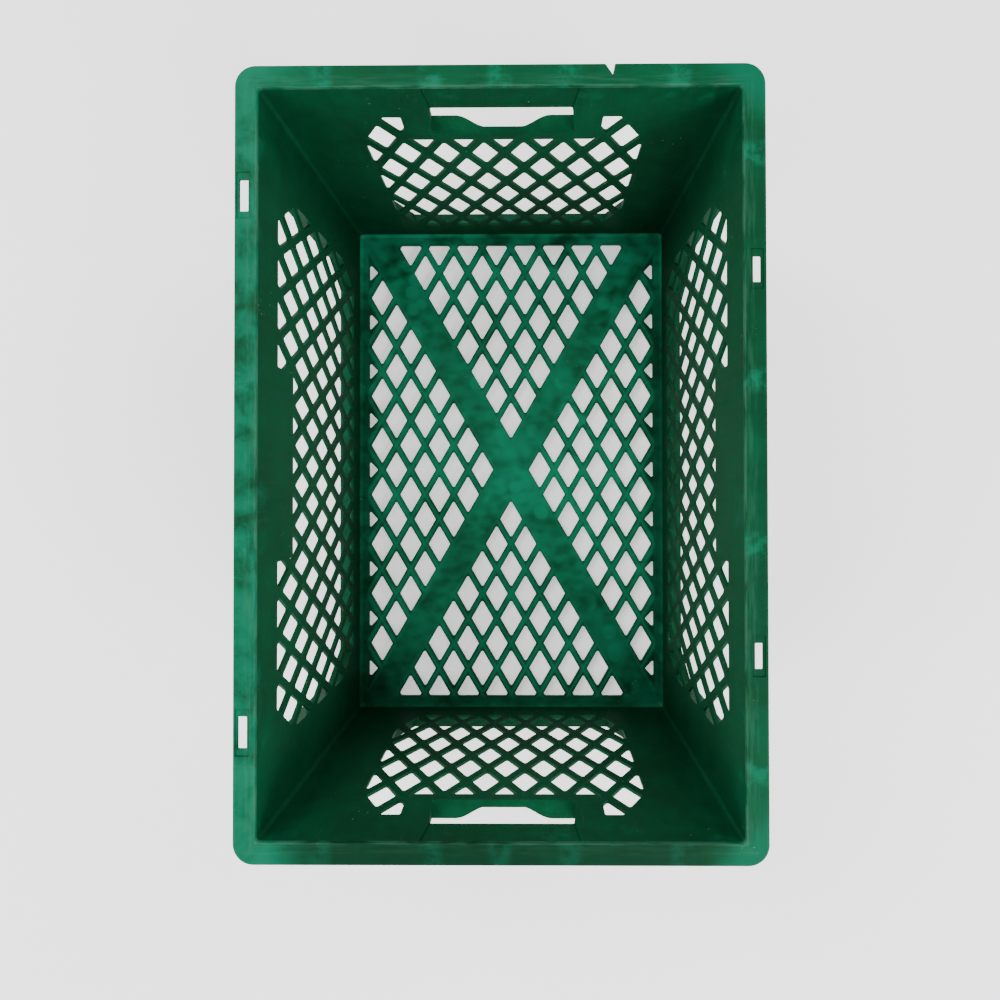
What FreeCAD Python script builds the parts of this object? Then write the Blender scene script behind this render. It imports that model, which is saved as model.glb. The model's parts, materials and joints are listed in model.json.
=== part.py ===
import FreeCAD, Part
import math
import os

# Rigid stacking crate moulded in one piece, divided into its named regions.
# Millimetres. Origin at the bottom centre, +Z up, +Y along the long side.
# Left is -X, right is +X, front is -Y, back is +Y.
# "Depth" is measured down a wall from the top of the rim.

Vector = FreeCAD.Vector

# Whole crate
WIDTH = 400.0
LENGTH = 600.0
HEIGHT = 320.0
WALL = 2.8
INNER_CORNER_R = 3.6
RIM_INNER_X = 182.5
RIM_INNER_Y = 282.5
DRAFT = 5.0 / 308.0
TILT = math.degrees(math.atan(DRAFT))

# Rim: a flat flange with a skirt hanging from its outer edge
RIM_CORNER_R = 16.0
RIM_PLATE = 3.0
RIM_SKIRT = 2.5
RIM_SKIRT_HEIGHT = 22.0
RIM_EDGE_R = 2.4
RIM_INNER_EDGE_R = 1.3
RIM_CORNER_X = 170.0
RIM_CORNER_Y = 270.0
RIB = 2.4
END_RIB_X = (-135.0, 0.0, 135.0)
SIDE_RIB_Y = (-231.0, -62.0, 62.0, 231.0)

# Slots through the rim: (x, half spacing along Y, width, length)
LEFT_SLOTS = (-192.6, 201.4, 7.0, 24.2)
RIGHT_SLOTS = (192.5, 144.4, 6.0, 19.6)
SLOT_CORNER_R = 0.8
SLOT_PAD_DROP = 0.8
SLOT_PAD_MARGIN = 5.5
SKIRT_GAP_MARGIN = 10.0

# Chip broken out of the back rim: a V with one steep side
CHIP_OUTER_X = (79.0, 87.0)
CHIP_TIP = (86.2, 289.3)

# Lattice cells: diamonds on half pitches, with strands between them
WALL_PITCH = 34.8
ROW = 29.15
FLOOR_PITCH = 33.8
CELL_SHARE = 0.75
CELL_CORNER_R = 1.6
SMALLEST_CELL = 45.0
FIRST_ROW_DEPTH = 48.8
WALL_ROWS = 9
BORDER = 4.0

# Lattice windows in the walls
WINDOW_TOP = 44.0
WINDOW_BOTTOM = 277.5
WINDOW_HIP = 231.0
SIDE_WINDOW_HALF = 226.0
SIDE_WINDOW_TOP_HALF = 198.0
SIDE_WINDOW_SHOULDER = 84.0
SIDE_HIP_INSET = 24.0
END_WINDOW_HALF = 121.0
END_WINDOW_TOP_HALF = 103.0
END_WINDOW_SHOULDER = 86.0
END_HIP_INSET = 19.0
END_FRAME_MARGIN = 5.0
WINDOW_CORNER_R = 5.0
FIELD_HALF = 79.0
FIELD_DEPTH = 80.0
FIELD_CHAMFER = 3.0

# Where the flat walls give way to the corner posts
POST_X = 129.0
POST_Y = 240.0

# Hand grip in each end wall
GRIP_HALF = 81.5
GRIP_DEPTH = 79.5
GRIP_CORNER_R = 9.0
GRIP_CHAMFER = 6.0
GRIP_BORDER = 1.0
OPENING_TOP_HALF = 57.0
OPENING_BOTTOM_HALF = 60.5
OPENING_TOP = 31.5
OPENING_BOTTOM = 70.0
OPENING_CORNER_R = 2.0
BAR_RECESS = 1.0
BAR_TOP_HALF = 61.0
SHELF = 3.0
SHELF_TIP_Y = 297.0
SHELF_SCOOP_Y = 287.0
SHELF_FLAT_HALF = 13.0
SHELF_LOBE_HALF = 41.0
SWEEP_SHARE = 0.38
CHEEK = 2.5
SHELF_HALF = OPENING_BOTTOM_HALF + CHEEK

# Outward frame round each window and the stacking shoulder under it
SHOULDER_X = 193.0
SHOULDER_Y = 291.0
SHOULDER_CORNER_R = 15.0
SHOULDER_PLATE = 3.0
SHOULDER_TOP = HEIGHT - WINDOW_BOTTOM
SHOULDER_BASE = 14.0
FRAME_RIB = 2.4
FRAME_GAP = 1.0
FRAME_REACH = 30.0

# Floor
FLOOR_TOP = 12.0
FLOOR_PLATE = 4.0
FLOOR_WINDOW_X = 167.0
FLOOR_WINDOW_Y = 265.5
FLOOR_COLUMNS = 10
FLOOR_LINES = 9
HALF_CELL_TIP = 156.6
HALF_CELL_HALF = 11.0
COVE = 3.0
FOOT_WIDTH = 7.0
CROSS_RIB_OFFSET = 9.0
CROSS_RIB_TOP = FLOOR_TOP - FLOOR_PLATE
CROSS_RIB_BASE = 2.0


def box(x_range, y_range, z_range):
    size = [high - low for low, high in (x_range, y_range, z_range)]
    return Part.makeBox(*size, Vector(x_range[0], y_range[0], z_range[0]))


def line(start, end):
    return Part.LineSegment(start, end).toShape()


def signed_area(points):
    following = points[1:] + points[:1]
    return sum(a[0] * b[1] - b[0] * a[1] for a, b in zip(points, following)) / 2


def counter_clockwise(points):
    return points if signed_area(points) > 0 else points[::-1]


def offset_polygon(points, distance):
    """The polygon grown by distance, or shrunk where distance is negative."""
    points = counter_clockwise(points)
    grown = []
    count = len(points)
    for k in range(count):
        before = Vector(*points[k - 1], 0)
        here = Vector(*points[k], 0)
        after = Vector(*points[(k + 1) % count], 0)
        arriving = (here - before).normalize()
        leaving = (after - here).normalize()
        normal_in = Vector(arriving.y, -arriving.x, 0)
        normal_out = Vector(leaving.y, -leaving.x, 0)
        mitre = (normal_in + normal_out) * (distance / (1 + normal_in.dot(normal_out)))
        grown.append((here.x + mitre.x, here.y + mitre.y))
    return grown


def rounded_wire(points, radius, z=0.0):
    """A closed wire through the points with an arc at each corner, no larger than its sides allow."""
    count = len(points)
    corners = []
    for k in range(count):
        before = Vector(*points[k - 1], z)
        here = Vector(*points[k], z)
        after = Vector(*points[(k + 1) % count], z)
        back = before - here
        ahead = after - here
        half_angle = back.getAngle(ahead) / 2
        reach = min(radius / math.tan(half_angle), 0.42 * back.Length, 0.42 * ahead.Length)
        back.normalize()
        ahead.normalize()
        bisector = (back + ahead).normalize()
        corner_radius = reach * math.tan(half_angle)
        nearest = corner_radius / math.sin(half_angle) - corner_radius
        corners.append((here + back * reach, here + bisector * nearest, here + ahead * reach))
    edges = []
    for k in range(count):
        arc_start, arc_middle, arc_end = corners[k]
        edges.append(Part.Arc(arc_start, arc_middle, arc_end).toShape())
        edges.append(line(arc_end, corners[(k + 1) % count][0]))
    return Part.Wire(edges)


def face_outline(face):
    return [(vertex.X, vertex.Y) for vertex in face.OuterWire.OrderedVertexes]


def polygon_face(points):
    vertices = [Vector(x, y, 0) for x, y in points]
    return Part.Face(Part.makePolygon(vertices + vertices[:1]))


def rectangle(half_x, half_y, centre_x=0.0, centre_y=0.0):
    signs = ((-1, -1), (1, -1), (1, 1), (-1, 1))
    return [(centre_x + half_x * sx, centre_y + half_y * sy) for sx, sy in signs]


def rounded_block(half_x, half_y, radius, z_low, z_high):
    face = Part.Face(rounded_wire(rectangle(half_x, half_y), radius, z_low))
    return face.extrude(Vector(0, 0, z_high - z_low))


def inner_half(z):
    inset = DRAFT * (HEIGHT - z)
    return RIM_INNER_X - inset, RIM_INNER_Y - inset


def tapered_block(grow, z_low, z_high):
    """The drafted inside of the crate between two heights, grown outward by grow."""
    x_low, y_low = [half + grow for half in inner_half(z_low)]
    x_high, y_high = [half + grow for half in inner_half(z_high)]
    block = Part.makeWedge(-x_low, z_low, -y_low, -y_high, -x_high, x_low, z_high, y_low, y_high, x_high)
    block.rotate(Vector(0, 0, 0), Vector(1, 0, 0), 90)
    upright = [edge for edge in block.Edges if edge.BoundBox.ZLength > (z_high - z_low) / 2]
    return block.makeFillet(INNER_CORNER_R + grow, upright)


def mirrored(half_outline):
    """An outline given for u >= 0, completed on the other side."""
    return half_outline + [(-u, v) for u, v in reversed(half_outline)]


def on_wall(shape, turn, inner_distance):
    """Carry a shape from the (u, -depth) plane, thick along +w, to the wall that faces turn degrees."""
    shape = shape.copy()
    shape.rotate(Vector(0, 0, 0), Vector(1, 0, 0), 90)
    shape.rotate(Vector(0, 0, 0), Vector(0, 0, 1), 90)
    shape.rotate(Vector(0, 0, 0), Vector(0, 1, 0), TILT)
    shape.translate(Vector(inner_distance, 0, HEIGHT))
    shape.rotate(Vector(0, 0, 0), Vector(0, 0, 1), turn)
    return shape


def prism(points, radius, low, high):
    face = Part.Face(rounded_wire(points, radius, low))
    return face.extrude(Vector(0, 0, high - low))


def window_outline(half, top_half, shoulder, hip_inset, field):
    """The lattice window: chamfered corners, and a solid field let into its top."""
    field_half, field_depth, field_chamfer = field
    return mirrored([
        (field_half - field_chamfer, -field_depth),
        (field_half, -field_depth + field_chamfer),
        (field_half, -WINDOW_TOP),
        (top_half, -WINDOW_TOP),
        (half, -shoulder),
        (half, -WINDOW_HIP),
        (half - hip_inset, -WINDOW_BOTTOM),
    ])


def diamond(centre_u, centre_v, half_u, half_v):
    return [
        (centre_u + half_u, centre_v),
        (centre_u, centre_v + half_v),
        (centre_u - half_u, centre_v),
        (centre_u, centre_v - half_v),
    ]


def clipped_cells(cells, outline):
    """Rounded hole wires for the parts of the cells that lie inside the outline."""
    window = polygon_face(outline)
    wires = []
    for cell in cells:
        for piece in polygon_face(cell).common(window).Faces:
            if piece.Area < SMALLEST_CELL:
                continue
            clockwise = counter_clockwise(face_outline(piece))[::-1]
            wires.append(rounded_wire(clockwise, CELL_CORNER_R))
    return wires


def wall_cells(half):
    cells = []
    for row in range(WALL_ROWS):
        depth = FIRST_ROW_DEPTH + row * ROW
        shift = 0.5 if row % 2 == 0 else 0.0
        last = int(half / WALL_PITCH) + 1
        for column in range(-last - 1, last + 1):
            centre = (column + shift) * WALL_PITCH
            cells.append(diamond(centre, -depth, CELL_SHARE * WALL_PITCH / 2, CELL_SHARE * ROW))
    return cells


def wall_lattice(outline, half):
    border = rounded_wire(offset_polygon(outline, BORDER), WINDOW_CORNER_R)
    face = Part.Face([border] + clipped_cells(wall_cells(half), outline))
    return face.extrude(Vector(0, 0, WALL))


def window_frame(outline, turn, inner_distance):
    """The rib that stands out round a window: straight bars, mitred, trimmed to the outer envelope."""
    envelope = box(
        (-SHOULDER_X, SHOULDER_X),
        (-SHOULDER_Y, SHOULDER_Y),
        (SHOULDER_TOP, HEIGHT - RIM_PLATE),
    )
    near = offset_polygon(outline, FRAME_GAP)
    far = offset_polygon(outline, FRAME_GAP + FRAME_RIB)
    bars = []
    for k in range(len(near)):
        foot = polygon_face([near[k - 1], near[k], far[k], far[k - 1]])
        foot.translate(Vector(0, 0, WALL))
        bar = foot.extrude(Vector(0, 0, FRAME_REACH - WALL))
        bars.append(on_wall(bar, turn, inner_distance).common(envelope))
    return Part.makeCompound(bars)


def grip_outline():
    return [(-GRIP_HALF, -GRIP_DEPTH), (GRIP_HALF, -GRIP_DEPTH), (GRIP_HALF, 20.0), (-GRIP_HALF, 20.0)]


def grip_panel(end_shell, turn):
    """The solid U of wall round a hand opening, thinned along the bar above it."""
    panel = end_shell.common(on_wall(prism(grip_outline(), GRIP_CORNER_R, -10, 10), turn, RIM_INNER_Y))
    corners = mirrored([(OPENING_BOTTOM_HALF, -OPENING_BOTTOM), (OPENING_TOP_HALF, -OPENING_TOP)])
    opening = prism(corners, OPENING_CORNER_R, -10, 10)
    bar = polygon_face(mirrored([(OPENING_TOP_HALF, -OPENING_TOP - 1), (BAR_TOP_HALF, 1)]))
    bar.translate(Vector(0, 0, -1))
    recess = bar.extrude(Vector(0, 0, 1 + BAR_RECESS))
    panel = panel.cut(on_wall(opening, turn, RIM_INNER_Y))
    return panel.cut(on_wall(recess, turn, RIM_INNER_Y))


def grip_shelf(side):
    """The finger shelf under the opening, with lobes at its ends and a scoop between them."""
    z = HEIGHT - OPENING_BOTTOM - SHELF
    sweep = SWEEP_SHARE * (SHELF_LOBE_HALF - SHELF_FLAT_HALF)
    root_y = inner_half(z)[1]

    def corner(x, y):
        return Vector(x, y, z)

    def swept(sign):
        poles = [
            corner(sign * SHELF_LOBE_HALF, SHELF_TIP_Y),
            corner(sign * (SHELF_LOBE_HALF - sweep), SHELF_TIP_Y),
            corner(sign * (SHELF_FLAT_HALF + sweep), SHELF_SCOOP_Y),
            corner(sign * SHELF_FLAT_HALF, SHELF_SCOOP_Y),
        ]
        curve = Part.BezierCurve()
        curve.setPoles(poles)
        return curve.toShape()

    edges = [
        line(corner(-SHELF_HALF, root_y), corner(-SHELF_HALF, SHELF_TIP_Y)),
        line(corner(-SHELF_HALF, SHELF_TIP_Y), corner(-SHELF_LOBE_HALF, SHELF_TIP_Y)),
        swept(-1),
        line(corner(-SHELF_FLAT_HALF, SHELF_SCOOP_Y), corner(SHELF_FLAT_HALF, SHELF_SCOOP_Y)),
        swept(1),
        line(corner(SHELF_LOBE_HALF, SHELF_TIP_Y), corner(SHELF_HALF, SHELF_TIP_Y)),
        line(corner(SHELF_HALF, SHELF_TIP_Y), corner(SHELF_HALF, root_y)),
        line(corner(SHELF_HALF, root_y), corner(-SHELF_HALF, root_y)),
    ]
    shelf = Part.Face(Part.Wire(Part.__sortEdges__(edges))).extrude(Vector(0, 0, SHELF))
    shelf = shelf.cut(tapered_block(WALL, 0, HEIGHT))
    if side < 0:
        shelf.rotate(Vector(0, 0, 0), Vector(0, 0, 1), 180)
    return shelf


def grip_cheeks(side, wall_block, rim):
    """The pair of upright ribs that close the ends of the hand grip behind the wall."""
    cheeks = []
    shelf_top = HEIGHT - OPENING_BOTTOM
    reach = LENGTH / 2 - RIM_SKIRT
    for x_low in (OPENING_BOTTOM_HALF, -OPENING_BOTTOM_HALF - CHEEK):
        y_range = (RIM_INNER_Y - 6, reach) if side > 0 else (-reach, -RIM_INNER_Y + 6)
        cheek = box((x_low, x_low + CHEEK), y_range, (shelf_top, HEIGHT - RIM_PLATE))
        cheeks.append(cheek.cut(wall_block).cut(rim))
    return Part.makeCompound(cheeks)


def slot_holes(slots, drop):
    """The pair of slots of one rim side, or the shallow pads round them."""
    x, half_spacing, width, length = slots
    margin = SLOT_PAD_MARGIN if drop else 0.0
    z_low = HEIGHT - SLOT_PAD_DROP if drop else HEIGHT - 10
    holes = []
    for y in (-half_spacing, half_spacing):
        outline = rectangle(width / 2 + margin / 3, length / 2 + margin, x, y)
        face = Part.Face(rounded_wire(outline, SLOT_CORNER_R, z_low))
        holes.append(face.extrude(Vector(0, 0, HEIGHT + 1 - z_low)))
    return Part.makeCompound(holes)


def skirt_gaps(slots):
    """Gaps in the skirt beside a pair of slots, where the hooks of a lid come out."""
    x, half_spacing, width, length = slots
    half = length / 2 + SKIRT_GAP_MARGIN
    x_range = sorted((math.copysign(WIDTH / 2 - RIM_SKIRT - 1, x), math.copysign(WIDTH, x)))
    z_range = (0, HEIGHT - RIM_PLATE)
    return Part.makeCompound([box(x_range, (y - half, y + half), z_range) for y in (-half_spacing, half_spacing)])


def whole_rim():
    """The flange and its skirt as one ring, with slots, pads, skirt gaps and the chipped place."""
    outer = rounded_block(WIDTH / 2, LENGTH / 2, RIM_CORNER_R, HEIGHT - RIM_SKIRT_HEIGHT, HEIGHT)
    top_edges = [edge for edge in outer.Edges if edge.BoundBox.ZMin > HEIGHT - 0.1]
    outer = outer.makeFillet(RIM_EDGE_R, top_edges)
    channel = rounded_block(
        WIDTH / 2 - RIM_SKIRT,
        LENGTH / 2 - RIM_SKIRT,
        RIM_CORNER_R - RIM_SKIRT,
        0,
        HEIGHT - RIM_PLATE,
    )
    rim = outer.cut(channel).cut(tapered_block(0, 0, HEIGHT + 5))
    inner_edges = [
        edge
        for edge in rim.Edges
        if edge.BoundBox.ZMin > HEIGHT - 0.1 and abs(edge.CenterOfMass.x) < RIM_INNER_X + 1
        and abs(edge.CenterOfMass.y) < RIM_INNER_Y + 1
    ]
    rim = rim.makeFillet(RIM_INNER_EDGE_R, inner_edges)
    for slots in (LEFT_SLOTS, RIGHT_SLOTS):
        rim = rim.cut(slot_holes(slots, True)).cut(slot_holes(slots, False)).cut(skirt_gaps(slots))
    low_x, high_x = CHIP_OUTER_X
    beyond = LENGTH / 2 + 5
    slope = (high_x - CHIP_TIP[0]) / (LENGTH / 2 - CHIP_TIP[1])
    chip = polygon_face([CHIP_TIP, (high_x + 5 * slope, beyond), (low_x - 4, beyond), (low_x, LENGTH / 2)])
    return rim.cut(chip.extrude(Vector(0, 0, HEIGHT + 5)))


def ring_sections(ring, corner_x, corner_y, name):
    """Divide a ring into four straight sides and four corners."""
    far = LENGTH
    x_spans = {"left": (-far, -corner_x), "": (-corner_x, corner_x), "right": (corner_x, far)}
    y_spans = {"front": (-far, -corner_y), "": (-corner_y, corner_y), "back": (corner_y, far)}
    sections = {}
    for y_word, y_span in y_spans.items():
        for x_word, x_span in x_spans.items():
            if not (x_word or y_word):
                continue
            words = [name] + (["corner"] if x_word and y_word else []) + [w for w in (y_word, x_word) if w]
            sections["_".join(words)] = ring.common(box(x_span, y_span, (-10, HEIGHT + 10)))
    return sections


def channel_ribs(along_x, positions, side, wall_block, outer_distance, z_range, foot_drop):
    """Upright ribs inside a rim or shoulder channel, cut back to a slant at the foot."""
    ribs = []
    z_low, z_high = z_range
    inner = (RIM_INNER_Y if along_x else RIM_INNER_X) - 6
    for position in positions:
        profile = [(inner, z_high), (outer_distance, z_high), (outer_distance, z_low + foot_drop), (inner, z_low)]
        points = [Vector(side * across, 0, z) for across, z in profile]
        face = Part.Face(Part.makePolygon(points + points[:1]))
        face.translate(Vector(0, position - RIB / 2, 0))
        rib = face.extrude(Vector(0, RIB, 0))
        if along_x:
            rib.rotate(Vector(0, 0, 0), Vector(0, 0, 1), 90)
        ribs.append(rib.cut(wall_block))
    return Part.makeCompound(ribs)


def whole_shoulder(wall_block):
    """The ledge under the windows and its skirt, which rests on the rim of the crate below."""
    outer = rounded_block(SHOULDER_X, SHOULDER_Y, SHOULDER_CORNER_R, SHOULDER_BASE, SHOULDER_TOP)
    channel = rounded_block(
        SHOULDER_X - RIM_SKIRT,
        SHOULDER_Y - RIM_SKIRT,
        SHOULDER_CORNER_R - RIM_SKIRT,
        0,
        SHOULDER_TOP - SHOULDER_PLATE,
    )
    return outer.cut(channel).cut(wall_block)


def band_face(direction):
    """One diagonal band of the floor, along a row of cells left solid."""
    half_u = FLOOR_PITCH / 2
    length = math.hypot(half_u, ROW)
    along = Vector(direction * half_u / length, ROW / length, 0)
    across = Vector(-along.y, along.x, 0) * (half_u * ROW / length)
    reach = LENGTH
    corners = [along * reach + across, along * -reach + across, along * -reach - across, along * reach - across]
    return polygon_face([(c.x, c.y) for c in corners])


def floor_outline():
    return polygon_face(rectangle(FLOOR_WINDOW_X + BORDER, FLOOR_WINDOW_Y + BORDER))


def floor_cell_points(column, row):
    half_u = FLOOR_PITCH / 2
    if abs(column) == FLOOR_COLUMNS:
        side = math.copysign(1, column)
        y = row * ROW
        return [
            (side * HALF_CELL_TIP, y),
            (side * FLOOR_WINDOW_X, y + HALF_CELL_HALF),
            (side * FLOOR_WINDOW_X, y - HALF_CELL_HALF),
        ]
    return diamond(column * half_u, row * ROW, CELL_SHARE * half_u, CELL_SHARE * ROW)


def floor_cells(belongs):
    """Cell outlines whose column and row satisfy belongs."""
    cells = []
    for column in range(-FLOOR_COLUMNS, FLOOR_COLUMNS + 1):
        for row in range(-FLOOR_LINES, FLOOR_LINES + 1):
            if (column + row) % 2 == 0 and belongs(column, row):
                cells.append(floor_cell_points(column, row))
    return cells


def floor_lattices():
    """The four triangular lattices between the arms of the floor's cross."""
    quarters = {
        "left": (lambda x, y: x < -50, lambda c, r: -c > abs(r)),
        "right": (lambda x, y: x > 50, lambda c, r: c > abs(r)),
        "front": (lambda x, y: y < -50, lambda c, r: -r > abs(c)),
        "back": (lambda x, y: y > 50, lambda c, r: r > abs(c)),
    }
    window = rectangle(FLOOR_WINDOW_X, FLOOR_WINDOW_Y)
    faces = floor_outline().cut(band_face(1)).cut(band_face(-1)).Faces
    lattices = {}
    for word, (holds, belongs) in quarters.items():
        face = next(f for f in faces if holds(f.CenterOfMass.x, f.CenterOfMass.y))
        holes = clipped_cells(floor_cells(belongs), window)
        corners = [Vector(x, y, 0) for x, y in counter_clockwise(face_outline(face))]
        border = Part.makePolygon(corners + corners[:1])
        plate = Part.Face([border] + holes).extrude(Vector(0, 0, FLOOR_PLATE))
        plate.translate(Vector(0, 0, FLOOR_TOP - FLOOR_PLATE))
        lattices["floor_lattice_" + word] = plate
    return lattices


def floor_cross():
    bands = band_face(1).fuse(band_face(-1)).common(floor_outline()).removeSplitter()
    plate = bands.extrude(Vector(0, 0, FLOOR_PLATE))
    plate.translate(Vector(0, 0, FLOOR_TOP - FLOOR_PLATE))
    return plate


def cross_ribs():
    """Two low ribs under each arm of the cross."""
    half_u = FLOOR_PITCH / 2
    angle = math.degrees(math.atan2(ROW, half_u))
    reach = math.hypot(FLOOR_WINDOW_X, FLOOR_WINDOW_Y)
    ribs = []
    for turn in (angle, -angle):
        for offset in (-CROSS_RIB_OFFSET, CROSS_RIB_OFFSET):
            rib = box((-reach, reach), (offset - RIB / 2, offset + RIB / 2), (CROSS_RIB_BASE, CROSS_RIB_TOP))
            rib.rotate(Vector(0, 0, 0), Vector(0, 0, 1), turn)
            ribs.append(rib)
    inside_foot = [half - FOOT_WIDTH for half in inner_half(0)]
    limit = box((-inside_foot[0], inside_foot[0]), (-inside_foot[1], inside_foot[1]), (0, FLOOR_TOP))
    return ribs[0].multiFuse(ribs[1:]).common(limit).removeSplitter()


def floor_border():
    """The solid margin of the floor, with a cove up to the walls."""
    plate_base = FLOOR_TOP - FLOOR_PLATE
    plate = tapered_block(WALL, 0, 40).common(box((-WIDTH, WIDTH), (-LENGTH, LENGTH), (plate_base, FLOOR_TOP)))
    window_x = FLOOR_WINDOW_X + BORDER
    window_y = FLOOR_WINDOW_Y + BORDER
    plate = plate.cut(box((-window_x, window_x), (-window_y, window_y), (0, 40)))
    half_x, half_y = inner_half(FLOOR_TOP)
    cove_ring = tapered_block(0, 0, 40).common(box((-WIDTH, WIDTH), (-LENGTH, LENGTH), (FLOOR_TOP, FLOOR_TOP + COVE)))
    hollow = Part.makeLoft([
        rounded_wire(rectangle(half_x - COVE, half_y - COVE), INNER_CORNER_R, FLOOR_TOP),
        rounded_wire(rectangle(half_x + 0.4, half_y + 0.4), INNER_CORNER_R, FLOOR_TOP + COVE + 0.4),
    ], True, True)
    cove = cove_ring.cut(hollow)
    return Part.makeCompound([*mitred_sides(plate).values(), *mitred_sides(cove).values()])


def mitred_sides(ring):
    """The four sides of a ring under the walls, mitred at its corners."""
    hub = RIM_INNER_Y - RIM_INNER_X
    far = WIDTH
    wedge = polygon_face([(0, -hub), (far, -hub - far), (far, hub + far), (0, hub)])
    right = wedge.extrude(Vector(0, 0, HEIGHT))
    left = right.mirror(Vector(0, 0, 0), Vector(1, 0, 0))
    ends = ring.cut(right).cut(left)
    return {
        "left": ring.common(left),
        "right": ring.common(right),
        "front": ends.common(box((-WIDTH, WIDTH), (-LENGTH, 0), (0, HEIGHT))),
        "back": ends.common(box((-WIDTH, WIDTH), (0, LENGTH), (0, HEIGHT))),
    }


def stacking_foot():
    """The ring under the floor that drops inside the rim of the crate below."""
    foot = tapered_block(WALL, 0, 40).common(box((-WIDTH, WIDTH), (-LENGTH, LENGTH), (0, FLOOR_TOP - FLOOR_PLATE)))
    half_x, half_y = [half - FOOT_WIDTH for half in inner_half(0)]
    return foot.cut(rounded_block(half_x, half_y, INNER_CORNER_R, -1, FLOOR_TOP))


def wall_shell():
    shell = tapered_block(WALL, 0, HEIGHT).cut(tapered_block(0, -1, HEIGHT + 5))
    return shell.common(box((-WIDTH, WIDTH), (-LENGTH, LENGTH), (FLOOR_TOP, HEIGHT - RIM_PLATE)))


def wall_nodes(shell):
    """Corner posts, walls, lattices, hand grips and window frames."""
    nodes = {}
    full = (FLOOR_TOP, HEIGHT)
    for y_word, y_sign in (("front", -1), ("back", 1)):
        for x_word, x_sign in (("left", -1), ("right", 1)):
            x_range = sorted((x_sign * POST_X, x_sign * WIDTH))
            y_range = sorted((y_sign * POST_Y, y_sign * LENGTH))
            nodes[f"corner_post_{y_word}_{x_word}"] = shell.common(box(x_range, y_range, full))

    side_outline = window_outline(
        SIDE_WINDOW_HALF,
        SIDE_WINDOW_TOP_HALF,
        SIDE_WINDOW_SHOULDER,
        SIDE_HIP_INSET,
        (FIELD_HALF, FIELD_DEPTH, FIELD_CHAMFER),
    )
    side_cut = prism(offset_polygon(side_outline, BORDER), WINDOW_CORNER_R, -10, 10)
    side_plate = wall_lattice(side_outline, SIDE_WINDOW_HALF)
    for word, sign, turn in (("left", -1, 180), ("right", 1, 0)):
        x_range = sorted((0, sign * WIDTH))
        side_shell = shell.common(box(x_range, (-POST_Y, POST_Y), full))
        nodes["side_wall_" + word] = side_shell.cut(on_wall(side_cut, turn, RIM_INNER_X))
        nodes["side_lattice_" + word] = on_wall(side_plate, turn, RIM_INNER_X)
        nodes["window_frame_" + word] = window_frame(side_outline, turn, RIM_INNER_X)

    end_outline, end_frame_outline = [
        window_outline(
            END_WINDOW_HALF + margin,
            END_WINDOW_TOP_HALF + margin,
            END_WINDOW_SHOULDER,
            END_HIP_INSET,
            (GRIP_HALF + GRIP_BORDER, GRIP_DEPTH + GRIP_BORDER, GRIP_CHAMFER),
        )
        for margin in (0.0, END_FRAME_MARGIN)
    ]
    end_border = offset_polygon(end_outline, BORDER)
    end_cut = prism(end_border, WINDOW_CORNER_R, -10, 10)
    end_plate = wall_lattice(end_outline, END_WINDOW_HALF)
    for word, sign, turn in (("front", -1, 270), ("back", 1, 90)):
        y_range = sorted((0, sign * LENGTH))
        end_shell = shell.common(box((-POST_X, POST_X), y_range, full))
        grip_cut = on_wall(prism(grip_outline(), GRIP_CORNER_R, -10, 10), turn, RIM_INNER_Y)
        solid_wall = end_shell.cut(on_wall(end_cut, turn, RIM_INNER_Y)).cut(grip_cut)
        sill_z = HEIGHT - WINDOW_HIP
        sill = solid_wall.common(box((-POST_X, POST_X), (-LENGTH, LENGTH), (0, sill_z)))
        nodes["end_sill_" + word] = sill
        upper = solid_wall.common(box((-POST_X, POST_X), (-LENGTH, LENGTH), (sill_z, HEIGHT)))
        for x_word, x_sign in (("left", -1), ("right", 1)):
            x_range = sorted((0, x_sign * WIDTH))
            half_wall = upper.common(box(x_range, (-LENGTH, LENGTH), full))
            nodes[f"end_wall_{word}_{x_word}"] = half_wall
        nodes["end_lattice_" + word] = on_wall(end_plate, turn, RIM_INNER_Y).cut(grip_cut)
        nodes["grip_panel_" + word] = grip_panel(end_shell, turn)
        nodes["window_frame_" + word] = window_frame(end_frame_outline, turn, RIM_INNER_Y)
    return nodes


def rim_and_shoulder_nodes(wall_block):
    nodes = {}
    rim = whole_rim()
    nodes.update(ring_sections(rim, RIM_CORNER_X, RIM_CORNER_Y, "rim"))
    shoulder = whole_shoulder(wall_block)
    nodes.update(ring_sections(shoulder, RIM_CORNER_X, RIM_CORNER_Y, "shoulder"))
    rim_z = (HEIGHT - RIM_SKIRT_HEIGHT, HEIGHT - RIM_PLATE)
    rim_y = LENGTH / 2 - RIM_SKIRT
    rim_x = WIDTH / 2 - RIM_SKIRT
    for word, side in (("front", -1), ("back", 1)):
        nodes["rim_ribs_" + word] = channel_ribs(True, END_RIB_X, side, wall_block, rim_y, rim_z, 6.0)
        nodes["grip_shelf_" + word] = grip_shelf(side)
        nodes["grip_cheeks_" + word] = grip_cheeks(side, wall_block, rim)
    for word, side in (("left", -1), ("right", 1)):
        nodes["rim_ribs_" + word] = channel_ribs(False, SIDE_RIB_Y, side, wall_block, rim_x, rim_z, 6.0)
    return nodes


def floor_nodes():
    nodes = floor_lattices()
    nodes["floor_cross"] = floor_cross()
    nodes["floor_cross_ribs"] = cross_ribs()
    nodes["floor_border"] = floor_border()
    nodes.update({"foot_" + word: side for word, side in mitred_sides(stacking_foot()).items()})
    return nodes


def whole_crate():
    wall_block = tapered_block(WALL, 0, HEIGHT)
    nodes = wall_nodes(wall_shell())
    nodes.update(rim_and_shoulder_nodes(wall_block))
    nodes.update(floor_nodes())
    return nodes


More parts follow.
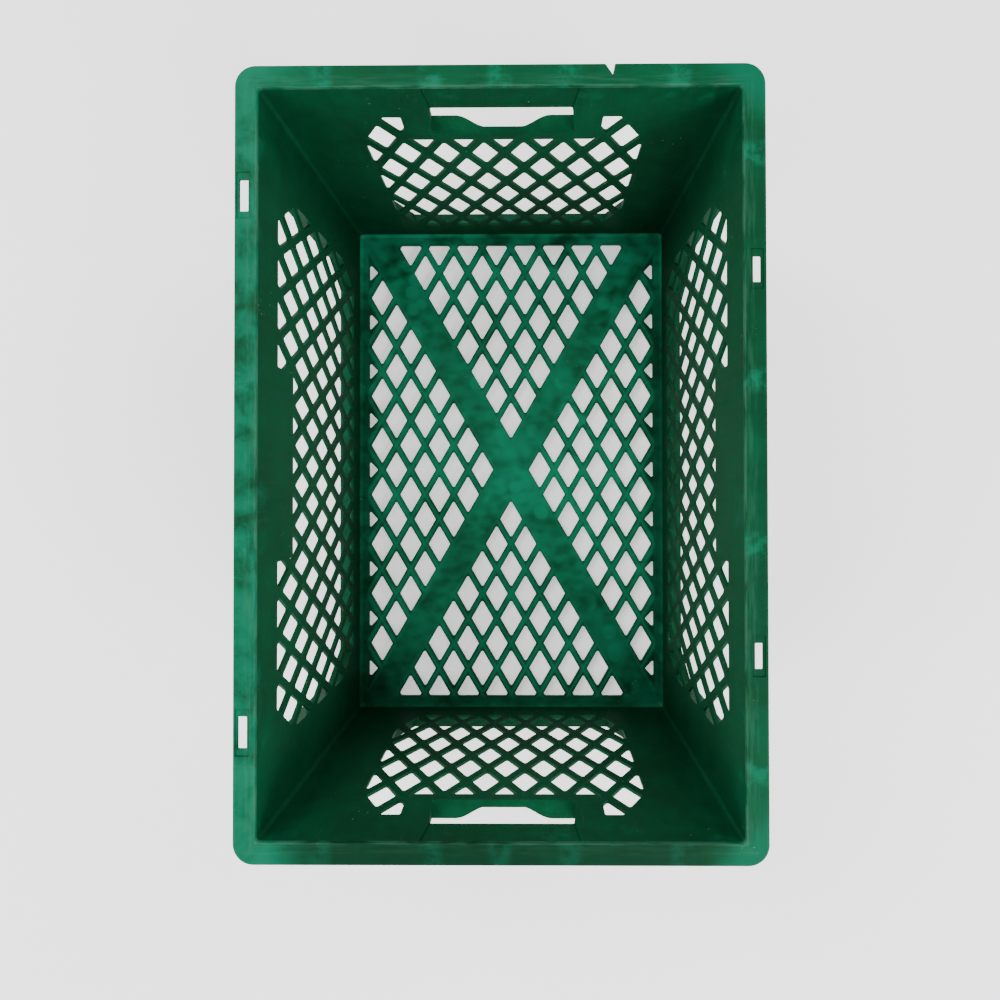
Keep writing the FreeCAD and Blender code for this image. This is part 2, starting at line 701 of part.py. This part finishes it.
os.makedirs("parts", exist_ok=True)
for node_name, node_shape in whole_crate().items():
    print(node_name, len(node_shape.Solids), round(node_shape.Volume / 1000, 2), node_shape.isValid())
    node_shape.exportStep(f"parts/{node_name}.step")
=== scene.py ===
import json

import bpy
from mathutils import Matrix, Vector


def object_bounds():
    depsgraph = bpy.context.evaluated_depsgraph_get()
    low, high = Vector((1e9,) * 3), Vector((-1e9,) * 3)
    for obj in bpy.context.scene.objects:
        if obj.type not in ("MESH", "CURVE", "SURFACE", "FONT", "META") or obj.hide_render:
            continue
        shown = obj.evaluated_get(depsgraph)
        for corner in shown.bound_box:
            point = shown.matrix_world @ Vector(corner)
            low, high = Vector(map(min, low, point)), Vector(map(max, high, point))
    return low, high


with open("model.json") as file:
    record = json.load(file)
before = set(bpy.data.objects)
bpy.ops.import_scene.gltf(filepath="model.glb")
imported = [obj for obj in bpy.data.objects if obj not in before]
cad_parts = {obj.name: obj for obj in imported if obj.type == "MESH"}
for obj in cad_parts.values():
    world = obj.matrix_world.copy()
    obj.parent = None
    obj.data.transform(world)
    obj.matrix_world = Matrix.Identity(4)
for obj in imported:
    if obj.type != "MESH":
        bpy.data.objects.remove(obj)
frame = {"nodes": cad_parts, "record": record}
CAD_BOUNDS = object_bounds()

# Metres throughout. A pair of places is a fade: 0 at the first, 1 at the second.

# Camera: over the open top, a little off centre and almost square to the rim
CAMERA_HEIGHT_ABOVE_RIM = 0.53218
CAMERA_OFFSET = (0.02265, -0.01477)
CAMERA_TILT = (-0.0114, -0.0079, 0.0016)
CAMERA_LENS = 25.69
CAMERA_SENSOR = 36.0
CAMERA_SHIFT = (-0.02457, -0.02599)
CAMERA_CLIP = (0.01, 20.0)

# Studio: soft panels (name, position, side, power), and a pale floor that glows a little
PANELS = (
    ("back_left_panel", (-1.2, 1.0, 2.1), 1.3, 45),
    ("front_right_panel", (1.5, -1.8, 1.9), 1.5, 85),
    ("front_left_panel", (-1.9, -1.3, 1.7), 1.3, 45),
    ("back_right_panel", (1.9, 1.3, 1.7), 1.3, 30),
)
PANEL_AIM = (0.0, 0.0, 0.15)
WORLD_STRENGTH = 0.7
FLOOR_HALF = 6.0
FLOOR_SHADE = (0.96, 0.96, 0.96, 1.0)
FLOOR_ROUGHNESS = 0.95
FLOOR_GLOW = 0.6
WHITE = (1.0, 1.0, 1.0, 1.0)

# Rim: half sizes at its inner edge, then fades by distance outward from that edge
RIM_INNER_X = 0.1825
RIM_INNER_Y = 0.2825
INNER_EDGE_HIGHLIGHT = (0.0018, 0.0006)
WORN_BAND = (0.0115, 0.0065)
FLECK_BAND = (0.013, 0.007)
OUTER_LINE = (0.0148, 0.0170)
MITRE = (-0.002, 0.002)
CORNER_GLOW = (-0.022, 0.012)
BETWEEN_CORNERS = (-0.004, -0.045)

# Rim: fades along X, Y and Z
LEFT_SIDE_LIT = (-0.12, -0.185)
BACK_END_LIT = (0.10, 0.28)
FRONT_END_SHADE = (0.05, -0.29)
UNDER_PLATE = (0.3165, 0.312)

# Places where light shining through the plastic over the ribs behind the rim is painted as paler, uneven
# patches (painted glow)
END_PATCHES = (0.0, 0.052, 0.135)
SIDE_PATCHES = (0.062, 0.231)
PATCH_CORE = 0.004
PATCH_EDGE = 0.012

# Walls: fades along X and Z
SIDE_WALLS = (0.168, 0.176)
LOW_DOWN_SHADE = (0.26, 0.03)
UNDER_RIM = (0.285, 0.317)

# Floor cross: direction of an arm, and its edge as a fade
ARM_ALONG = (0.5016, 0.8651)
ARM_HALF = 0.0146
ARM_EDGE = (ARM_HALF * 1.25, ARM_HALF * 0.8)
CROSS_MIDDLE = (0.11, 0.01)

# Floor lattice: a full cell along X and Y, half sizes of its window, and strands as shares of a cell
FLOOR_CELL = (0.0338, 0.0583)
FLOOR_WINDOW = (0.167, 0.2655)
WINDOW_EDGE = (0.003, -0.001)
STRAND_HALF = 0.125
# Strands: painted highlight on the crown and painted shade on the flanks, as shares of a cell
CROWN_HIGHLIGHT = (STRAND_HALF * 0.62, STRAND_HALF * 0.10)
FLANK_SHADE = (STRAND_HALF * 0.62, STRAND_HALF)

# Floor: fades along Y
FLOOR_BACK = (0.17, 0.26)
FLOOR_FRONT_SHADE = (-0.12, -0.26)

# Greens of the plastic, from shaded to chalky; some also paint light and shade below: deep green paints
# shade, the teals paint glow, light and highlights, and chalk paints a highlight as well as wear
DEEP_GREEN = (0.0004, 0.0150, 0.0055)
BODY_GREEN = (0.0006, 0.0360, 0.0125)
FRESH_GREEN = (0.0012, 0.0650, 0.0250)
TEAL = (0.0035, 0.1280, 0.0690)
BRIGHT_TEAL = (0.0045, 0.1900, 0.0950)
CHALK_AND_HIGHLIGHT = (0.0400, 0.1500, 0.0950)
SPECK = (0.2600, 0.3600, 0.2900)
BUMP_STRENGTH = 0.6


class Graph:
    """A material's node tree, with short names for the nodes used here."""

    def __init__(self, name):
        self.material = bpy.data.materials.new(name)
        self.material.use_nodes = True
        self.tree = self.material.node_tree
        self.shader = self.tree.nodes["Principled BSDF"]
        self.place = self.tree.nodes.new("ShaderNodeTexCoord").outputs["Object"]
        split = self.tree.nodes.new("ShaderNodeSeparateXYZ")
        self.tree.links.new(self.place, split.inputs[0])
        self.x, self.y, self.z = split.outputs

    def put(self, socket, value):
        if isinstance(value, bpy.types.NodeSocket):
            self.tree.links.new(value, socket)
        elif isinstance(value, tuple) and socket.type == "RGBA":
            socket.default_value = (*value, 1.0)
        else:
            socket.default_value = value

    def math(self, operation, *values):
        node = self.tree.nodes.new("ShaderNodeMath")
        node.operation = operation
        for socket, value in zip(node.inputs, values):
            self.put(socket, value)
        return node.outputs[0]

    def size(self, value):
        return self.math("ABSOLUTE", value)

    def total(self, first, second):
        return self.math("ADD", first, second)

    def gap(self, first, second):
        return self.math("SUBTRACT", first, second)

    def opposite(self, value):
        return self.math("SUBTRACT", 1.0, value)

    def product(self, *values):
        result = values[0]
        for value in values[1:]:
            result = self.math("MULTIPLY", result, value)
        return result

    def most(self, values):
        result = values[0]
        for value in values[1:]:
            result = self.math("MAXIMUM", result, value)
        return result

    def fade(self, value, start, end):
        """0 at start, 1 at end, smooth between, whichever of the two is the larger."""
        node = self.tree.nodes.new("ShaderNodeMapRange")
        node.interpolation_type = "SMOOTHSTEP"
        rising = end > start
        self.put(node.inputs["Value"], value)
        self.put(node.inputs["From Min"], min(start, end))
        self.put(node.inputs["From Max"], max(start, end))
        self.put(node.inputs["To Min"], 0.0 if rising else 1.0)
        self.put(node.inputs["To Max"], 1.0 if rising else 0.0)
        return node.outputs[0]

    def near(self, value, places):
        """1 close to any of the places on either side of the middle, 0 away from them."""
        size = self.size(value)
        gaps = [self.size(self.gap(size, place)) for place in places]
        return self.most([self.fade(gap, PATCH_EDGE, PATCH_CORE) for gap in gaps])

    def stretched(self, factors, shift=(0.0, 0.0, 0.0)):
        node = self.tree.nodes.new("ShaderNodeMapping")
        self.put(node.inputs["Vector"], self.place)
        node.inputs["Scale"].default_value = factors
        node.inputs["Location"].default_value = shift
        return node.outputs[0]

    def noise(self, scale, detail=3.0, roughness=0.5, vector=None, distortion=0.0):
        node = self.tree.nodes.new("ShaderNodeTexNoise")
        self.put(node.inputs["Vector"], vector or self.place)
        self.put(node.inputs["Scale"], scale)
        self.put(node.inputs["Detail"], detail)
        self.put(node.inputs["Roughness"], roughness)
        self.put(node.inputs["Distortion"], distortion)
        return node.outputs["Fac"]

    def cells(self, scale):
        node = self.tree.nodes.new("ShaderNodeTexVoronoi")
        self.put(node.inputs["Vector"], self.place)
        self.put(node.inputs["Scale"], scale)
        return node.outputs["Distance"]

    def blend(self, factor, first, second):
        node = self.tree.nodes.new("ShaderNodeMix")
        node.data_type = "RGBA"
        self.put(node.inputs[0], factor)
        self.put(node.inputs[6], first)
        self.put(node.inputs[7], second)
        return node.outputs[2]

    def finish(self, colour, roughness, height, relief, gloss):
        self.put(self.shader.inputs["Base Color"], colour)
        self.put(self.shader.inputs["Roughness"], roughness)
        self.shader.inputs["Specular IOR Level"].default_value = gloss
        bump = self.tree.nodes.new("ShaderNodeBump")
        bump.inputs["Strength"].default_value = BUMP_STRENGTH
        bump.inputs["Distance"].default_value = relief
        self.put(bump.inputs["Height"], height)
        self.put(self.shader.inputs["Normal"], bump.outputs[0])
        return self.material


def base_green(graph, contrast):
    """Broad, cloudy changes of tone in the moulded plastic."""
    broad = graph.noise(7.0, 3.0, 0.55)
    cloud = graph.noise(38.0, 5.0, 0.62, distortion=0.4)
    tone = graph.total(graph.product(broad, 0.55), graph.product(cloud, 0.45))
    share = graph.fade(tone, 0.5 - contrast, 0.5 + contrast)
    return graph.blend(share, BODY_GREEN, FRESH_GREEN), cloud


def specks(graph, scale, size, share):
    """Small bright flecks, in clusters."""
    dots = graph.fade(graph.cells(scale), size, size * 0.4)
    cluster = graph.fade(graph.noise(24.0, 4.0, 0.7), 1.0 - share, 1.05 - share)
    return graph.product(dots, cluster)


def rim_streaks(graph, on_end):
    """Fine lines drawn along each side of the rim."""
    along_x = graph.noise(1.0, 5.0, 0.62, graph.stretched((34.0, 420.0, 60.0)))
    along_y = graph.noise(1.0, 5.0, 0.62, graph.stretched((420.0, 34.0, 60.0), (3.0, 7.0, 0.0)))
    return graph.total(graph.product(along_x, on_end), graph.product(along_y, graph.opposite(on_end)))


def rim_rib_glow(graph, colour, on_end):
    """Painted glow: paler patches where light shines through the plastic over the ribs behind the rim.
    """
    patchy = graph.fade(graph.noise(90.0, 4.0, 0.6), 0.38, 0.62)
    on_ends = graph.product(graph.near(graph.x, END_PATCHES), on_end)
    on_sides = graph.product(graph.near(graph.y, SIDE_PATCHES), graph.opposite(on_end))
    rib_glow = graph.product(graph.most([on_ends, on_sides]), patchy)
    return graph.blend(graph.product(rib_glow, 0.62), colour, TEAL)


def rim_wear_shade_and_highlight(graph, colour, from_inside, over_x, streak):
    """Chalky lines and flecks along the rim, painted shade over the front end, and a painted highlight
    along the rounded inner edge.
    """
    worn = graph.product(graph.fade(from_inside, *WORN_BAND), graph.fade(streak, 0.40, 0.66))
    colour = graph.blend(graph.product(worn, 0.17), colour, CHALK_AND_HIGHLIGHT)
    outer_line = graph.product(graph.fade(from_inside, *OUTER_LINE), graph.fade(streak, 0.44, 0.70))
    colour = graph.blend(graph.product(outer_line, 0.25), colour, CHALK_AND_HIGHLIGHT)
    # Painted shade: the front end of the rim, between its corners, is darkened towards deep green.
    front_rim_shade = graph.product(graph.fade(graph.y, *FRONT_END_SHADE), graph.fade(over_x, *BETWEEN_CORNERS))
    colour = graph.blend(graph.product(front_rim_shade, 0.62), colour, DEEP_GREEN)
    # Painted highlight along the rounded inner edge of the rim, in the chalk colour.
    inner_edge_highlight = graph.product(graph.fade(from_inside, *INNER_EDGE_HIGHLIGHT), graph.fade(streak, 0.34, 0.60))
    colour = graph.blend(graph.product(inner_edge_highlight, 0.35), colour, CHALK_AND_HIGHLIGHT)
    flecks = graph.product(specks(graph, 420.0, 0.18, 0.38), graph.fade(from_inside, *FLECK_BAND))
    return graph.blend(graph.product(flecks, 0.35), colour, SPECK)


def rim_material():
    graph = Graph("rim_green")
    over_x = graph.gap(graph.size(graph.x), RIM_INNER_X)
    over_y = graph.gap(graph.size(graph.y), RIM_INNER_Y)
    from_inside = graph.most([over_x, over_y])
    on_end = graph.fade(graph.gap(over_y, over_x), *MITRE)
    streak = rim_streaks(graph, on_end)
    colour, cloud = base_green(graph, 0.16)
    # Painted light: the back end of the rim is blended a little towards the fresher green, as if lit
    # more strongly there.
    colour = graph.blend(graph.product(graph.fade(graph.y, *BACK_END_LIT), 0.25), colour, FRESH_GREEN)
    colour = rim_rib_glow(graph, colour, on_end)
    # Painted glow: the rim's corners are blended towards teal, for light shining through the bent
    # plastic there.
    corner = graph.fade(graph.total(over_x, over_y), *CORNER_GLOW)
    colour = graph.blend(graph.product(corner, 0.55), colour, TEAL)
    # Painted light: the left side of the rim is blended towards teal in cloudy patches, as if lit more
    # strongly from the left.
    left_lit = graph.product(graph.fade(graph.x, *LEFT_SIDE_LIT), graph.fade(cloud, 0.30, 0.62))
    colour = graph.blend(graph.product(left_lit, 0.70), colour, TEAL)
    colour = rim_wear_shade_and_highlight(graph, colour, from_inside, over_x, streak)
    under_plate = graph.fade(graph.z, *UNDER_PLATE)
    colour = graph.blend(graph.product(under_plate, 0.5), colour, BODY_GREEN)
    roughness = graph.total(0.40, graph.product(graph.total(streak, cloud), 0.16))
    height = graph.total(graph.noise(240.0, 4.0, 0.6), graph.product(streak, 1.4))
    return graph.finish(colour, roughness, height, relief=0.00022, gloss=0.06)


def wall_wear(graph, colour):
    """Rubbed lines drawn down the walls, bruises under the rim and a few flecks."""
    drawn = graph.noise(1.0, 3.0, 0.55, graph.stretched((320.0, 320.0, 11.0), (5.0, 2.0, 0.0)))
    rubbed = graph.product(graph.fade(drawn, 0.60, 0.74), graph.fade(graph.noise(11.0, 2.0), 0.46, 0.62))
    colour = graph.blend(graph.product(rubbed, 0.12), colour, CHALK_AND_HIGHLIGHT)
    bruised = graph.fade(graph.noise(30.0, 4.0, 0.65), 0.54, 0.72)
    bruise = graph.product(bruised, graph.fade(graph.z, *UNDER_RIM))
    colour = graph.blend(graph.product(bruise, 0.45), colour, TEAL)
    return graph.blend(graph.product(specks(graph, 170.0, 0.13, 0.42), 0.5), colour, SPECK)


def wall_material():
    graph = Graph("wall_green")
    colour, cloud = base_green(graph, 0.2)
    flow = graph.noise(1.0, 4.0, 0.6, graph.stretched((150.0, 150.0, 7.0)))
    colour = graph.blend(graph.product(graph.fade(flow, 0.66, 0.34), 0.16), colour, DEEP_GREEN)
    on_sides = graph.fade(graph.size(graph.x), *SIDE_WALLS)
    colour = graph.blend(graph.product(on_sides, 0.15), colour, FRESH_GREEN)
    # Painted shade: the walls darken towards the floor, deep inside the crate.
    low = graph.fade(graph.z, *LOW_DOWN_SHADE)
    colour = graph.blend(graph.product(low, 0.45), colour, DEEP_GREEN)
    colour = wall_wear(graph, colour)
    roughness = graph.total(0.38, graph.product(graph.total(flow, cloud), 0.17))
    height = graph.total(graph.noise(170.0, 4.0, 0.6), graph.product(flow, 0.5))
    return graph.finish(colour, roughness, height, relief=0.00025, gloss=0.04)


def cross_arms(graph):
    """1 on the arms of the floor's cross."""
    along_x = graph.product(graph.x, ARM_ALONG[1])
    along_y = graph.product(graph.y, ARM_ALONG[0])
    rising = graph.size(graph.gap(along_x, along_y))
    falling = graph.size(graph.total(along_x, along_y))
    return graph.fade(graph.math("MINIMUM", rising, falling), *ARM_EDGE)


def strand_gap(graph):
    """0 on the middle line of a floor strand, 0.5 in the middle of a cell."""
    across = graph.math("DIVIDE", graph.x, FLOOR_CELL[0])
    along = graph.math("DIVIDE", graph.y, FLOOR_CELL[1])
    gaps = []
    for family in (graph.total(across, along), graph.gap(across, along)):
        gaps.append(graph.size(graph.gap(graph.math("FRACT", family), 0.5)))
    return graph.math("MINIMUM", *gaps)


def inside_window(graph, place, half):
    """1 within the floor window along one axis."""
    start, end = WINDOW_EDGE
    return graph.fade(graph.size(place), half + start, half + end)


def floor_clouds(graph, colour, on_arm, middle, far_end):
    """Soft bright clouds and round discs, stronger on the cross, in the middle and at the back."""
    soft = graph.noise(30.0, 2.0, 0.5)
    patch = graph.noise(62.0, 1.5, 0.4, graph.stretched((1.0, 1.5, 1.0), (4.0, 1.0, 2.0)))
    mixed = graph.total(graph.product(soft, 0.6), graph.product(patch, 0.4))
    blotch = graph.fade(mixed, 0.30, 0.64)
    extra = graph.most([graph.product(on_arm, 0.12), graph.product(far_end, 0.50)])
    weight = graph.total(0.50, graph.total(extra, graph.product(middle, 0.30)))
    colour = graph.blend(graph.product(blotch, weight), colour, BRIGHT_TEAL)
    round_spots = graph.fade(graph.cells(46.0), 0.46, 0.30)
    discs = graph.product(round_spots, graph.fade(graph.noise(12.0, 2.0), 0.50, 0.58))
    colour = graph.blend(graph.product(discs, 0.55), colour, BRIGHT_TEAL)
    return graph.blend(graph.product(middle, 0.35), colour, BRIGHT_TEAL), blotch


def floor_shade(graph, colour, inside_x, far_end):
    """Dull patches in the plastic's tone, and painted shade over the front end and over the solid
    borders beside the lattice.
    """
    spread = graph.stretched((1.0, 1.0, 1.0), (2.0, 5.0, 1.0))
    dull = graph.fade(graph.noise(16.0, 2.0, 0.5, spread), 0.52, 0.36)
    # Painted shade on the borders beside the lattice and over the front end of the floor.
    border_shade = graph.product(graph.opposite(inside_x), graph.opposite(far_end))
    front_floor_shade = graph.fade(graph.y, *FLOOR_FRONT_SHADE)
    shades = [graph.product(dull, 0.22), graph.product(front_floor_shade, 0.45), graph.product(border_shade, 0.45)]
    return graph.blend(graph.most(shades), colour, DEEP_GREEN)


def floor_strands(graph, colour, on_lattice):
    """A painted highlight along the crown of every strand and painted shade on its flanks."""
    gap = strand_gap(graph)
    crown_highlight = graph.product(graph.fade(gap, *CROWN_HIGHLIGHT), on_lattice)
    flank_shade = graph.product(graph.fade(gap, *FLANK_SHADE), on_lattice)
    colour = graph.blend(graph.product(crown_highlight, 0.38), colour, BRIGHT_TEAL)
    return graph.blend(graph.product(flank_shade, 0.55), colour, DEEP_GREEN)


def floor_material():
    graph = Graph("floor_green")
    colour, cloud = base_green(graph, 0.20)
    colour = graph.blend(0.30, colour, FRESH_GREEN)
    on_arm = cross_arms(graph)
    middle = graph.fade(graph.total(graph.size(graph.x), graph.size(graph.y)), *CROSS_MIDDLE)
    far_end = graph.fade(graph.y, *FLOOR_BACK)
    inside_x = inside_window(graph, graph.x, FLOOR_WINDOW[0])
    inside_y = inside_window(graph, graph.y, FLOOR_WINDOW[1])
    colour, blotch = floor_clouds(graph, colour, on_arm, middle, far_end)
    colour = floor_shade(graph, colour, inside_x, far_end)
    colour = floor_strands(graph, colour, graph.product(graph.opposite(on_arm), inside_x, inside_y))
    colour = graph.blend(graph.product(specks(graph, 230.0, 0.14, 0.40), 0.4), colour, SPECK)
    roughness = graph.total(0.36, graph.product(graph.total(blotch, cloud), 0.14))
    height = graph.total(graph.noise(190.0, 5.0, 0.6), graph.product(cloud, 1.5))
    return graph.finish(colour, roughness, height, relief=0.0003, gloss=0.07)


def dress_nodes():
    """Give every region the material of its slot."""
    materials = {
        "rim_plastic": rim_material(),
        "wall_plastic": wall_material(),
        "floor_plastic": floor_material(),
    }
    for part in frame["record"]["subparts"]:
        mesh = frame["nodes"][part["node"]].data
        mesh.materials.clear()
        mesh.materials.append(materials[part["material_slot"]])


def make_camera(top):
    data = bpy.data.cameras.new("camera")
    data.lens = CAMERA_LENS
    data.sensor_width = CAMERA_SENSOR
    data.shift_x, data.shift_y = CAMERA_SHIFT
    data.clip_start, data.clip_end = CAMERA_CLIP
    camera = bpy.data.objects.new("camera", data)
    bpy.context.scene.collection.objects.link(camera)
    axis = Vector(CAMERA_TILT)
    turn = Matrix.Rotation(axis.length, 4, axis.normalized()).transposed()
    place = Matrix.Translation((*CAMERA_OFFSET, top + CAMERA_HEIGHT_ABOVE_RIM))
    camera.matrix_world = place @ turn
    bpy.context.scene.camera = camera


def make_panel(name, position, side, power):
    """A soft square light aimed at the middle of the crate."""
    data = bpy.data.lights.new(name, "AREA")
    data.shape = "RECTANGLE"
    data.size = side
    data.size_y = side
    data.energy = power
    light = bpy.data.objects.new(name, data)
    bpy.context.scene.collection.objects.link(light)
    light.location = position
    light.rotation_mode = "QUATERNION"
    aim = Vector(PANEL_AIM) - Vector(position)
    light.rotation_quaternion = aim.to_track_quat("-Z", "Y")


def make_lights():
    for panel in PANELS:
        make_panel(*panel)
    world = bpy.data.worlds.new("studio")
    world.use_nodes = True
    background = world.node_tree.nodes["Background"]
    background.inputs["Color"].default_value = WHITE
    background.inputs["Strength"].default_value = WORLD_STRENGTH
    bpy.context.scene.world = world


def make_floor():
    corners = [(x * FLOOR_HALF, y * FLOOR_HALF, 0) for x, y in ((-1, -1), (1, -1), (1, 1), (-1, 1))]
    mesh = bpy.data.meshes.new("studio_floor")
    mesh.from_pydata(corners, [], [(0, 1, 2, 3)])
    floor = bpy.data.objects.new("studio_floor", mesh)
    bpy.context.scene.collection.objects.link(floor)
    material = bpy.data.materials.new("pale_floor")
    material.use_nodes = True
    shader = material.node_tree.nodes["Principled BSDF"]
    shader.inputs["Base Color"].default_value = FLOOR_SHADE
    shader.inputs["Roughness"].default_value = FLOOR_ROUGHNESS
    shader.inputs["Emission Color"].default_value = WHITE
    shader.inputs["Emission Strength"].default_value = FLOOR_GLOW
    mesh.materials.append(material)


dress_nodes()
make_camera(CAD_BOUNDS[1].z)
make_lights()
make_floor()
